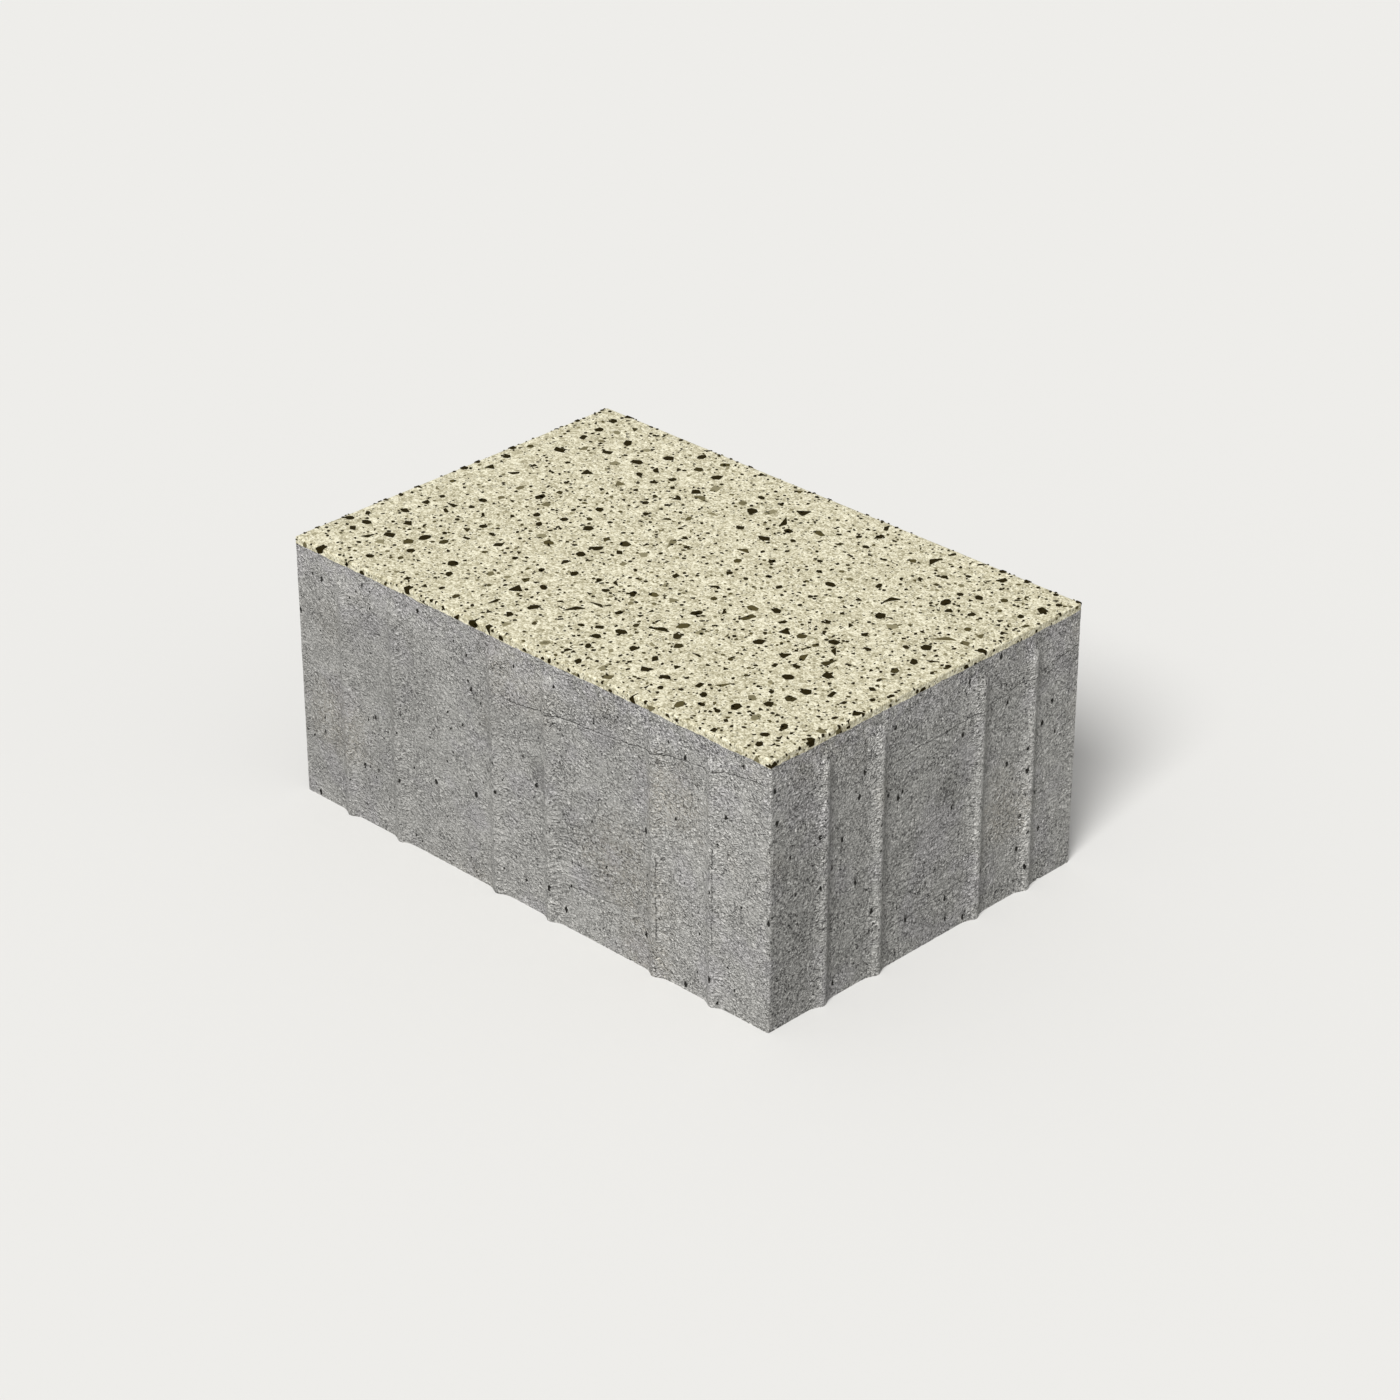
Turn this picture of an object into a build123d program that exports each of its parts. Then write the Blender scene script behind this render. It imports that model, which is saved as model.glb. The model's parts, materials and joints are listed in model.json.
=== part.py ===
from build123d import *
import math
import os

# Concrete paver, lying on its bed face with its finished face up.
# A grey backing mix carries a thin pale facing mix, and spacer ribs stand out from all four sides.
# Millimetres. X runs along the length, Y along the width, Z up from the centre of the bed face.

# Block
LENGTH = 180.0
WIDTH = 120.0
HEIGHT = 80.0
FACING_DEPTH = 2.2
ARRIS_RADIUS = 0.5

# Spacer ribs, which stand in pairs along each side
RIB_PAIR_PITCH = 60.0
RIB_PAIR_SPACING = 20.8
RIB_PROJECTION = 1.5
RIB_CREST_RADIUS = 2.0
RIB_ROOT_RADIUS = 6.0
RIB_TOP_GAP = 6.0
RIB_TAPER = 3.0

# Sizes that follow from the ones above
FACING_BASE = HEIGHT - FACING_DEPTH
RIB_TOP = HEIGHT - RIB_TOP_GAP
RIB_ARC_SPAN = RIB_CREST_RADIUS + RIB_ROOT_RADIUS
RIB_ARC_RISE = RIB_ARC_SPAN - RIB_PROJECTION
RIB_HALF_WIDTH = math.sqrt(RIB_ARC_SPAN**2 - RIB_ARC_RISE**2)
RIB_ROOTED_DEPTH = RIB_PROJECTION


def block_between(bottom, top):
    """A plain slice of the block from one height to another."""
    footprint = Rectangle(LENGTH, WIDTH)
    return extrude(Plane.XY.offset(bottom) * footprint, top - bottom)


def rib_section():
    """Bell-shaped section of a rib: the wall lies along X, and the crest points to +Y.

    A round crest runs into a hollow root on each side, and each root dies out in the wall.
    """
    crest_centre = RIB_PROJECTION - RIB_CREST_RADIUS
    crest_share = RIB_CREST_RADIUS / RIB_ARC_SPAN
    meeting_x = RIB_HALF_WIDTH * crest_share
    meeting_y = crest_centre + RIB_ARC_RISE * crest_share
    left_root = TangentArc((-RIB_HALF_WIDTH, 0), (-meeting_x, meeting_y), tangent=(1, 0))
    crest = ThreePointArc((-meeting_x, meeting_y), (0, RIB_PROJECTION), (meeting_x, meeting_y))
    right_root = TangentArc((RIB_HALF_WIDTH, 0), (meeting_x, meeting_y), tangent=(-1, 0))
    inside = Polyline(
        (RIB_HALF_WIDTH, 0),
        (RIB_HALF_WIDTH, -RIB_ROOTED_DEPTH),
        (-RIB_HALF_WIDTH, -RIB_ROOTED_DEPTH),
        (-RIB_HALF_WIDTH, 0),
    )
    return make_face([left_root, crest, right_root, inside])


def spacer_rib():
    """One rib from the bed up, with its upper end sloped back to the wall."""
    full_height = extrude(rib_section(), RIB_TOP)
    side_profile = make_face(
        Polyline(
            (-RIB_ROOTED_DEPTH, 0),
            (RIB_PROJECTION, 0),
            (RIB_PROJECTION, RIB_TOP - RIB_TAPER),
            (0, RIB_TOP),
            (-RIB_ROOTED_DEPTH, RIB_TOP),
            close=True,
        )
    )
    sloped = extrude(Plane.YZ * side_profile, RIB_HALF_WIDTH, both=True)
    return full_height & sloped


def rib_places(side_length):
    """Distances of the ribs from the middle of a side, in as many pairs as the side holds."""
    room = side_length - 2 * (ARRIS_RADIUS + RIB_HALF_WIDTH) - RIB_PAIR_SPACING
    pairs = 1 + math.floor(room / RIB_PAIR_PITCH)
    pair_centres = [(i - (pairs - 1) / 2) * RIB_PAIR_PITCH for i in range(pairs)]
    return [c + half for c in pair_centres for half in (-RIB_PAIR_SPACING / 2, RIB_PAIR_SPACING / 2)]


def all_ribs():
    """The ribs of the two long sides and the two short sides."""
    rib = spacer_rib()
    long_side = Location((0, WIDTH / 2, 0))
    short_side = Location((0, LENGTH / 2, 0))
    sides = [
        (0, long_side, LENGTH),
        (90, short_side, WIDTH),
        (180, long_side, LENGTH),
        (270, short_side, WIDTH),
    ]
    return [
        Rot(0, 0, turn) * side * Pos(place, 0, 0) * rib
        for turn, side, side_length in sides
        for place in rib_places(side_length)
    ]


def backing_block():
    """Grey body of the paver, with its ribs."""
    body = block_between(0, FACING_BASE)
    body = fillet(body.edges().filter_by(Axis.Z), ARRIS_RADIUS)
    return body + all_ribs()


def facing_layer():
    """Pale top layer, rounded a little at its corners and along its upper edge."""
    layer = block_between(FACING_BASE, HEIGHT)
    upright = layer.edges().filter_by(Axis.Z)
    upper = layer.faces().sort_by(Axis.Z)[-1].edges()
    return fillet(upright + upper, ARRIS_RADIUS)


os.makedirs("parts", exist_ok=True)
export_step(backing_block(), "parts/backing_block.step")
export_step(facing_layer(), "parts/facing_layer.step")
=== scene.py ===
import json
import math

import bpy
import numpy as np
from bpy.props import FloatProperty, FloatVectorProperty, IntProperty, PointerProperty
from bpy.types import Operator, Panel, PropertyGroup
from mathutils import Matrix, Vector, geometry, noise

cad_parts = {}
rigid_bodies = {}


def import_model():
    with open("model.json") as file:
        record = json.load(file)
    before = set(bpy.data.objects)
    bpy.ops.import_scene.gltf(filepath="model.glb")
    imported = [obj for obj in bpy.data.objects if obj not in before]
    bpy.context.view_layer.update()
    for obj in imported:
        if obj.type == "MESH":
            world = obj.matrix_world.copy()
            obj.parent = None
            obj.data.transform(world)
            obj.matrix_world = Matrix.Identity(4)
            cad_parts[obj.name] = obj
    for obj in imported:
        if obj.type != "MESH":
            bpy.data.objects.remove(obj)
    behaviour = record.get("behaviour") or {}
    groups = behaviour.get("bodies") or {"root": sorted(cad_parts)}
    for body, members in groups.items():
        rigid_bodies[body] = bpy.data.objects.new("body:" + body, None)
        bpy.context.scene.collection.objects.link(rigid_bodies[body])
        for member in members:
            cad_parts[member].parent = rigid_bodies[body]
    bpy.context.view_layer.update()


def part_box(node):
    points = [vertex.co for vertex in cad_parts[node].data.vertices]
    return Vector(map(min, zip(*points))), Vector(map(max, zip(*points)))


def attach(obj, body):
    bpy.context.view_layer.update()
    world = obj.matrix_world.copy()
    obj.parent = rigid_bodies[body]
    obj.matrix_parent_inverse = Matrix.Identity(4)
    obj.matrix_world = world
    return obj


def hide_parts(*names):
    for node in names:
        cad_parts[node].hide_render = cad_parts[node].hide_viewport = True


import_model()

bl_info = {
    "name": "Concrete paver",
    "version": (1, 0, 0),
    "blender": (4, 5, 0),
    "location": "View3D > Sidebar > Paver",
    "description": "Dresses a two-layer paver: sandy grey body, speckled cream facing, dark chips",
    "category": "Object",
}

# The frame that every piece is built around
BODY = "root"
BACKING_NODE = "backing_block"
FACING_NODE = "facing_layer"
_, BACKING_HIGH = (Vector(corner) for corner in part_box(BACKING_NODE))
FACING_LOW, FACING_HIGH = (Vector(corner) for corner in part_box(FACING_NODE))
LENGTH = FACING_HIGH.x - FACING_LOW.x
WIDTH = FACING_HIGH.y - FACING_LOW.y
HEIGHT = FACING_HIGH.z
SEAM = FACING_LOW.z
RIB_PROJECTION = BACKING_HIGH.x - FACING_HIGH.x
MM = 0.001
PER_MM = 1.0 / MM


def srgb(red, green, blue):
    """A colour as it looks on screen, from 0 to 255, as the linear colour that Blender keeps."""
    shares = [level / 255 for level in (red, green, blue)]
    return tuple(c / 12.92 if c <= 0.04045 else ((c + 0.055) / 1.055) ** 2.4 for c in shares)


def length_prop(name, description, millimetres):
    return FloatProperty(
        name=name, description=description, default=millimetres * MM, precision=5, unit="LENGTH"
    )


def colour_prop(name, description, colour):
    return FloatVectorProperty(
        name=name, description=description, default=colour, size=3, min=0.0, max=1.0, subtype="COLOR"
    )


def angle_prop(name, description, degrees):
    return FloatProperty(
        name=name, description=description, default=math.radians(degrees), subtype="ANGLE"
    )


def number_prop(name, description, value, **kind):
    return FloatProperty(name=name, description=description, default=value, **kind)


def seed_prop(name, description, seed):
    return IntProperty(name=name, description=description, default=seed)


class PaverShape(PropertyGroup):
    """Sizes of the block, its ribs and the mesh that carries its relief."""

    rib_pitch: length_prop("Rib pair pitch", "Distance between the middles of two rib pairs", 60.0)
    rib_spacing: length_prop("Rib spacing", "Distance between the two ribs of a pair", 20.8)
    rib_crest: length_prop("Rib crest radius", "Radius of a rib's round crest", 2.0)
    rib_root: length_prop("Rib root radius", "Radius of the hollow at each side of a rib", 6.0)
    rib_gap: length_prop("Rib top gap", "From the top face down to where the ribs begin", 6.0)
    rib_taper: length_prop("Rib taper", "Height over which a rib grows to its full section", 3.0)
    arris: length_prop("Arris radius", "Rounding of the upright corners and the upper edge", 0.5)
    seam_wave: length_prop("Seam wave", "How far the facing's lower edge strays up or down", 0.36)
    step_along: length_prop("Step along", "Mesh step along the sides and over the top", 0.62)
    step_up: length_prop("Step up", "Mesh step up the sides", 0.92)
    step_bed: length_prop("Step on the bed", "Mesh step on the hidden bed face", 2.6)


class GreyFinish(PropertyGroup):
    """Colours and relief of the grey backing concrete."""

    grey: colour_prop("Grey", "Main colour of the concrete", srgb(181, 179.5, 175))
    warm: colour_prop("Warm stain", "Beige of the stained patches", srgb(178, 169, 151))
    lilac: colour_prop("Lilac", "Cool tint just under the facing", srgb(168, 164, 172))
    smudge: colour_prop("Smudge", "Damp grey of the dark patches", srgb(128, 127, 122))
    # Painted shade: near black that stands in for the shade deep in the pits and cracks
    pit: colour_prop("Pit", "Colour deep in the pits and cracks", srgb(36, 35, 31))
    skin: length_prop("Skin", "Least depth of the relief below the mould face", 0.0)
    grain_size: length_prop("Grain size", "Size of the sandy grains in the mesh", 1.7)
    grain_depth: length_prop("Grain depth", "Depth of the sandy grains in the mesh", 0.13)
    lump_size: length_prop("Lump size", "Size of the soft lumps", 6.0)
    lump_depth: length_prop("Lump depth", "Depth of the soft lumps", 0.08)
    sway_size: length_prop("Sway size", "Size of the broad unevenness", 38.0)
    sway_depth: length_prop("Sway depth", "Depth of the broad unevenness", 0.08)
    pit_depth: length_prop("Pit depth", "Depth of the open pits", 0.55)


class CreamFinish(PropertyGroup):
    """Colours and relief of the cream facing mix."""

    shade: colour_prop("Shade", "Darkest fine sand in the cream ground", srgb(150, 143, 114))
    dull: colour_prop("Dull cream", "Duller grains", srgb(190, 183, 153))
    cream: colour_prop("Cream", "Main colour of the ground", srgb(213, 206, 177))
    pale: colour_prop("Pale fleck", "Lightest grains", srgb(252, 247, 221))
    speck: colour_prop("Speck", "Fine dark sand", srgb(70, 62, 34))
    skin: length_prop("Skin", "Least depth of the ground below the chips", 0.05)
    grain_size: length_prop("Grain size", "Size of the washed grains in the mesh", 1.3)
    grain_depth: length_prop("Grain depth", "Depth of the washed grains in the mesh", 0.10)
    lump_size: length_prop("Lump size", "Size of the soft lumps", 5.0)
    lump_depth: length_prop("Lump depth", "Depth of the soft lumps", 0.05)
    sway_size: length_prop("Sway size", "Size of the broad unevenness", 40.0)
    sway_depth: length_prop("Sway depth", "Depth of the broad unevenness", 0.05)
    pit_depth: length_prop("Pit depth", "Depth of the open pits", 0.0)


class ChipLook(PropertyGroup):
    """Sizes, numbers and colours of the dark stone chips in the facing."""

    coarse_smallest: length_prop("Coarse, smallest", "Smallest coarse chip across", 1.0)
    coarse_largest: length_prop("Coarse, largest", "Largest coarse chip across", 3.15)
    coarse_apart: length_prop("Coarse, apart", "Least distance between two coarse chips", 4.9)
    coarse_least: number_prop(
        "Coarse, least", "Share of them left between the thick strips", 0.75, subtype="FACTOR"
    )
    coarse_density: number_prop("Coarse density", "Most coarse chips in a square metre", 400000.0)
    coarse_seed: seed_prop("Coarse seed", "Picks the scatter of coarse chips", 11)
    fine_smallest: length_prop("Fine, smallest", "Smallest fine chip across", 0.42)
    fine_largest: length_prop("Fine, largest", "Largest fine chip across", 1.12)
    fine_apart: length_prop("Fine, apart", "Least distance between two fine chips", 1.092)
    fine_least: number_prop(
        "Fine, least", "Share of them left between the thick strips", 0.9, subtype="FACTOR"
    )
    fine_density: number_prop("Fine density", "Most fine chips in a square metre", 155000.0)
    fine_seed: seed_prop("Fine seed", "Picks the scatter of fine chips", 23)
    black: colour_prop("Black", "Olive black of most chips", srgb(37, 30, 8))
    brown: colour_prop("Brown", "Weathered chips", srgb(88, 80, 50))
    ghost: colour_prop("Ghost", "Chips under a film of cement", srgb(144, 137, 108))


class StudioLook(PropertyGroup):
    """Camera, light and floor."""

    azimuth: angle_prop("Azimuth", "Camera's turn round the block", 44.403)
    elevation: angle_prop("Elevation", "Camera's height angle", 28.501)
    distance: length_prop("Distance", "From the camera to the block's bed", 1094.645)
    slide: length_prop("Slide", "How far the view is slid to the right", 4.889)
    lift: length_prop("Lift", "How far the view is lifted", 34.859)
    lens: number_prop("Lens", "Focal length in millimetres", 100.80, unit="CAMERA")
    floor: colour_prop("Floor", "Pale floor as the camera sees it", srgb(232, 231, 228))
    bounce: colour_prop("Bounce", "Floor as it lights the block", srgb(150, 150, 148))
    key_strength: number_prop("Key strength", "Main light in watts on a square metre", 3.01)
    key_softness: angle_prop("Key softness", "How wide the main light looks", 24.0)
    sky: number_prop("Sky", "Strength of the even light from all round", 0.40)


# Shared ways to build node trees
# Reach of a swing over everything from 0 to 1
WHOLE_RANGE = 0.5


class Graph:
    """Adds nodes to a shader or a geometry tree, and links what is a socket and sets what is a value."""

    def __init__(self, tree):
        self.tree = tree

    def node(self, kind, inputs=None, **settings):
        """A new node, with its inputs by name or number."""
        made = self.tree.nodes.new(kind)
        for name, value in settings.items():
            setattr(made, name, value)
        for key, value in (inputs or {}).items():
            self.put(made.inputs[key], value)
        return made

    def put(self, socket, value):
        if isinstance(value, bpy.types.NodeSocket):
            self.tree.links.new(value, socket)
        else:
            socket.default_value = value

    def math(self, operation, first, second=0.0):
        return self.node("ShaderNodeMath", {0: first, 1: second}, operation=operation).outputs[0]

    def minus(self, first, second):
        return self.math("SUBTRACT", first, second)

    def larger(self, first, second):
        return self.math("MAXIMUM", first, second)

    def add(self, *values):
        total = values[0]
        for value in values[1:]:
            total = self.math("ADD", total, value)
        return total

    def times(self, *values):
        product = values[0]
        for value in values[1:]:
            product = self.math("MULTIPLY", product, value)
        return product

    def vector(self, operation, first, second=(0.0, 0.0, 0.0)):
        made = self.node("ShaderNodeVectorMath", {0: first, 1: second}, operation=operation)
        return made.outputs["Value" if operation in ("DISTANCE", "DOT_PRODUCT", "LENGTH") else "Vector"]

    def scaled(self, place, factor):
        made = self.node("ShaderNodeVectorMath", {0: place, "Scale": factor}, operation="SCALE")
        return made.outputs["Vector"]

    def spread(self, value):
        """One value as all three parts of a vector."""
        return self.node("ShaderNodeCombineXYZ", {0: value, 1: value, 2: value}).outputs[0]

    def tilted(self, place, degrees):
        """The place turned about the block's width, so that level patterns rise along its length."""
        made = self.node("ShaderNodeVectorRotate", {"Vector": place, "Angle": math.radians(degrees)})
        made.rotation_type = "Y_AXIS"
        return made.outputs[0]

    def axes(self, place):
        return self.node("ShaderNodeSeparateXYZ", {0: place}).outputs

    def noise(self, place, size, detail=2.0, roughness=0.5, curl=0.0):
        """Soft random pattern, about half, with features of the given size."""
        inputs = {
            "Vector": place,
            "Scale": self.rate(size),
            "Detail": detail,
            "Roughness": roughness,
            "Distortion": curl,
        }
        return self.node("ShaderNodeTexNoise", inputs).outputs[0]

    def warped(self, place, size, reach):
        """The place pushed about softly, so that straight patterns on it swirl."""
        inputs = {"Vector": place, "Scale": self.rate(size), "Detail": 1.0}
        push = self.node("ShaderNodeTexNoise", inputs).outputs["Color"]
        return self.vector("ADD", place, self.scaled(push, reach))

    def cells(self, place, size):
        """Random cells of a size: the distance to each cell's middle, and a random colour for each."""
        return self.node("ShaderNodeTexVoronoi", {"Vector": place, "Scale": self.rate(size)}).outputs

    def stored(self, name, kind):
        """What a mesh carries under a name."""
        return self.node("GeometryNodeInputNamedAttribute", {"Name": name}, data_type=kind).outputs[0]

    def rate(self, size):
        """How many features of a size fit in one unit."""
        if isinstance(size, bpy.types.NodeSocket):
            return self.math("DIVIDE", 1.0, size)
        return 1.0 / size

    def ramp(self, value, start, end, low=0.0, high=1.0, smooth=True):
        """Goes from low to high as value goes from start to end, and holds there."""
        made = self.node(
            "ShaderNodeMapRange",
            {0: value, 1: start, 2: end, 3: low, 4: high},
            interpolation_type="SMOOTHSTEP" if smooth else "LINEAR",
        )
        return made.outputs[0]

    def swing(self, value, amount, reach=0.25):
        """From minus to plus the amount, as value goes from one reach below half to one above it."""
        return self.ramp(value, 0.5 - reach, 0.5 + reach, -amount, amount, False)

    def mix(self, share, first, second):
        """One colour turning into another; each is a socket or a plain colour."""
        ends = [c if isinstance(c, bpy.types.NodeSocket) else rgba(c) for c in (first, second)]
        return self.node("ShaderNodeMix", {0: share, 6: ends[0], 7: ends[1]}, data_type="RGBA").outputs[2]


def rgba(colour):
    return (*colour, 1.0)


# Pits, cracks and stains, which the relief and the finish share. Places are in millimetres.
# A pattern is a size in millimetres, a detail, a roughness and a curl, and the last ones may be left out.
# A ramp is where it starts and ends, and what it gives there.

# Cell, radius as a share of the cell, and share of the cells that hold a pit
LARGE_PITS = (5.0, 0.14, 0.34)
SMALL_PITS = (2.6, 0.15, 0.34)
# A pit's width as a share of its height, its deepest part as a share of its radius, and how ragged it is
PIT_STRETCH, PIT_FLOOR, PIT_JAG = 0.6, 0.4, 1.1
# How far inside the wall still counts as a side, and how far in from the walls the painted highlight on
# the upright corners reaches
SIDE_MARGIN, CORNER_HIGHLIGHT_REACH = 1.2, 1.0
# How far beyond the wall the painted highlight on a rib's crest starts, and where it is at full strength
CREST_HIGHLIGHT_START, CREST_HIGHLIGHT_FULL = 0.55, 0.95

# Side, where the crack starts and ends along the side, its heights there, sag between, and strength
CRACKS = (
    ("front", -13.0, 91.0, 60.6, 72.9, 1.3, 1.0),
    ("front", -72.0, -50.0, 60.8, 61.6, 0.2, 0.5),
    ("front", 8.0, 37.0, 12.4, 15.2, 0.3, 0.6),
    ("right", -61.0, -41.0, 60.4, 62.6, 0.2, 0.6),
    ("right", -17.0, 61.0, 60.8, 68.0, 1.2, 0.9),
    ("right", -16.0, 22.0, 11.2, 14.4, 0.4, 0.7),
    ("back", -91.0, 24.0, 71.5, 60.4, 1.2, 0.8),
    ("left", -12.0, 61.0, 15.0, 10.8, 0.5, 0.7),
)
CRACK_HALF_WIDTH = 0.25
CRACK_CORE = 0.3 * CRACK_HALF_WIDTH
CRACK_LIP = 1.5
# Shares of a crack's length where it has come up at its start and where it begins to die out
CRACK_ENDS = (0.06, 0.97)
CRACK_SQUASH = (1.0, 1.0, 0.25)
CRACK_WOBBLE, CRACK_WOBBLE_PATTERN = 1.1, (11.0, 1.0)
CRACK_JITTER, CRACK_JITTER_PATTERN = 0.6, (1.3, 2.0, 0.6)
CRACK_BREAKS, CRACK_BREAKS_PATTERN = (0.30, 0.50, 0.4, 1.0), (5.0, 1.0)

# Side, place along it, lower and upper end, and strength of the lines that the mould left
MOULD_LINES = (
    ("front", 50.6, 9.0, 39.0, 0.8),
    ("front", 71.0, 16.0, 50.0, 0.9),
    ("back", -71.0, 12.0, 46.0, 0.7),
)
MOULD_FADE = 4.0
MOULD_JITTER, MOULD_JITTER_PATTERN = 0.35, (2.2, 2.0)
MOULD_DOTS, MOULD_DOTS_PATTERN = (0.34, 0.5, 0.2, 1.0), (1.5, 1.0)

# Middle and radius of the beige patches and of the damp smudges on the sides
WARM_PATCHES = (
    ((-75.0, -60.0, 27.0), 17.0),
    ((56.0, -60.0, 55.0), 15.0),
    ((36.0, -60.0, 27.0), 18.0),
    ((47.0, -60.0, 5.0), 14.0),
    ((90.0, 31.0, 27.0), 12.0),
    ((30.0, 60.0, 40.0), 18.0),
    ((-90.0, -20.0, 30.0), 16.0),
)
SMUDGES = (
    ((6.0, -60.0, 43.5), 6.0),
    ((90.0, 8.0, 43.5), 6.5),
    ((-90.0, 24.0, 50.0), 6.0),
)
# Share of a patch's radius inside which it is at its full strength
PATCH_CORE = 0.35
# Side, middle, radius and amount of broad painted shade and painted light on the sides
PAINTED_LIGHT_AND_SHADE_PATCHES = (
    ("front", (-72.0, -60.0, 28.0), 62.0, -0.10),
    ("front", (86.0, -60.0, 38.0), 52.0, 0.14),
    ("front", (14.0, -60.0, 40.0), 24.0, -0.06),
    ("right", (90.0, -62.0, 26.0), 46.0, -0.15),
    ("right", (90.0, 8.0, 40.0), 40.0, 0.03),
    ("right", (90.0, 50.0, 40.0), 40.0, 0.12),
)
# Painted light: heights between which the sides turn lighter towards the top, and by how much
PAINTED_TOP_LIGHT = (60.0, 76.0, 0.0, 0.12)
# Middle and radius of the areas where the mould has dragged along a side
DRAG_PATCHES = (
    ((12.0, -60.0, 23.0), 26.0),
    ((90.0, 0.0, 24.0), 24.0),
    ((-30.0, 60.0, 30.0), 24.0),
)


def pit_field(graph, place, kind):
    """1 in the middle of an open pit, 0 outside. Pits are taller than wide, and only in some cells."""
    cell, radius, share = kind
    stretched = graph.vector("MULTIPLY", place, (1.0, 1.0, PIT_STRETCH))
    cells = graph.cells(stretched, cell)
    chosen = graph.math("LESS_THAN", graph.axes(cells["Color"])[0], share)
    bowl = graph.ramp(cells["Distance"], radius, PIT_FLOOR * radius)
    return graph.times(bowl, chosen)


def on_side(graph, place, side):
    """1 on the named side of the block and the distance along that side."""
    x, y, _ = graph.axes(place)
    across, along, edge = {
        "front": (graph.times(y, -1.0), x, WIDTH),
        "back": (y, x, WIDTH),
        "right": (x, y, LENGTH),
        "left": (graph.times(x, -1.0), y, LENGTH),
    }[side]
    return graph.math("GREATER_THAN", across, edge * PER_MM / 2 - SIDE_MARGIN), along


def crack_lines(graph, place):
    """Hairlines where the layers of the pressing show, which the grey darkens as painted shade in the
    cracks, and the raised lip under each, which it lightens as a painted highlight.
    """
    lines, lips = 0.0, 0.0
    squashed = graph.vector("MULTIPLY", place, CRACK_SQUASH)
    wobble = graph.swing(graph.noise(squashed, *CRACK_WOBBLE_PATTERN), CRACK_WOBBLE, WHOLE_RANGE)
    jitter = graph.swing(graph.noise(squashed, *CRACK_JITTER_PATTERN), CRACK_JITTER, WHOLE_RANGE)
    breaks = graph.ramp(graph.noise(squashed, *CRACK_BREAKS_PATTERN), *CRACK_BREAKS)
    level = graph.minus(graph.axes(place)[2], graph.add(wobble, jitter))
    begun, ending = CRACK_ENDS
    for side, start, end, low, high, sag, strength in CRACKS:
        shown, along = on_side(graph, place, side)
        share = graph.ramp(along, start, end, smooth=False)
        bow = graph.times(share, graph.minus(1.0, share), -4.0 * sag)
        path = graph.add(graph.ramp(share, 0.0, 1.0, low, high, False), bow)
        gap = graph.minus(level, path)
        ends = graph.times(graph.ramp(share, 0.0, begun), graph.ramp(share, 1.0, ending))
        held = graph.times(shown, ends, strength)
        line = graph.ramp(graph.math("ABSOLUTE", gap), CRACK_HALF_WIDTH, CRACK_CORE)
        lip = graph.times(graph.ramp(gap, -CRACK_LIP, 0.0), graph.math("LESS_THAN", gap, 0.0))
        lines = graph.larger(lines, graph.times(line, breaks, held))
        lips = graph.larger(lips, graph.times(lip, held))
    return lines, lips


def mould_lines(graph, place):
    """Thin upright lines that the mould has left beside a rib, dotted along their length."""
    lines = 0.0
    jitter = graph.swing(graph.noise(place, *MOULD_JITTER_PATTERN), MOULD_JITTER, WHOLE_RANGE)
    dots = graph.ramp(graph.noise(place, *MOULD_DOTS_PATTERN), *MOULD_DOTS)
    height_up = graph.axes(place)[2]
    for side, at, low, high, strength in MOULD_LINES:
        shown, along = on_side(graph, place, side)
        gap = graph.math("ABSOLUTE", graph.minus(graph.add(along, jitter), at))
        line = graph.ramp(gap, CRACK_HALF_WIDTH, CRACK_CORE)
        foot = graph.ramp(height_up, low, low + MOULD_FADE)
        head = graph.ramp(height_up, high, high - MOULD_FADE)
        ends = graph.times(foot, head)
        lines = graph.larger(lines, graph.times(line, dots, shown, ends, strength))
    return lines


def painted_corner_highlight(graph, place):
    """1 along the four upright corners, where the grey is lightened as a painted highlight."""
    x, y, _ = graph.axes(graph.vector("ABSOLUTE", place))
    edge_x, edge_y = LENGTH * PER_MM / 2, WIDTH * PER_MM / 2
    return graph.math(
        "MINIMUM",
        graph.ramp(x, edge_x - CORNER_HIGHLIGHT_REACH, edge_x - CORNER_HIGHLIGHT_REACH / 3),
        graph.ramp(y, edge_y - CORNER_HIGHLIGHT_REACH, edge_y - CORNER_HIGHLIGHT_REACH / 3),
    )


def painted_crest_highlight(graph, place):
    """1 along the crests of the ribs on the two short sides, where the grey is lightened as a painted
    highlight.
    """
    x, _, _ = graph.axes(graph.vector("ABSOLUTE", place))
    wall = LENGTH * PER_MM / 2
    return graph.ramp(x, wall + CREST_HIGHLIGHT_START, wall + CREST_HIGHLIGHT_FULL)


def patch_field(graph, place, patches, ragged):
    """1 in the middle of any of the patches, fading out along a ragged edge."""
    field = 0.0
    for middle, radius in patches:
        reach = graph.math("DIVIDE", graph.vector("DISTANCE", place, middle), radius)
        field = graph.larger(field, graph.ramp(graph.add(reach, ragged), 1.0, PATCH_CORE))
    return field


# Finishes
def new_material(name):
    """A material, its graph and shader, and the place on the piece in millimetres."""
    material = bpy.data.materials.new(name)
    material.use_nodes = True
    graph = Graph(material.node_tree)
    shader = material.node_tree.nodes["Principled BSDF"]
    place = graph.scaled(graph.node("ShaderNodeTexCoord").outputs["Object"], PER_MM)
    return material, graph, shader, place


def finish_surface(graph, shader, colour, roughness, height, bump_depth, sheen):
    """Links a colour, a roughness and a bump to a shader."""
    bump = graph.node("ShaderNodeBump", {"Strength": 1.0, "Distance": bump_depth, "Height": height})
    graph.put(shader.inputs["Base Color"], colour)
    graph.put(shader.inputs["Roughness"], roughness)
    graph.put(shader.inputs["Normal"], bump.outputs["Normal"])
    graph.put(shader.inputs["Specular IOR Level"], sheen)


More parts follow.
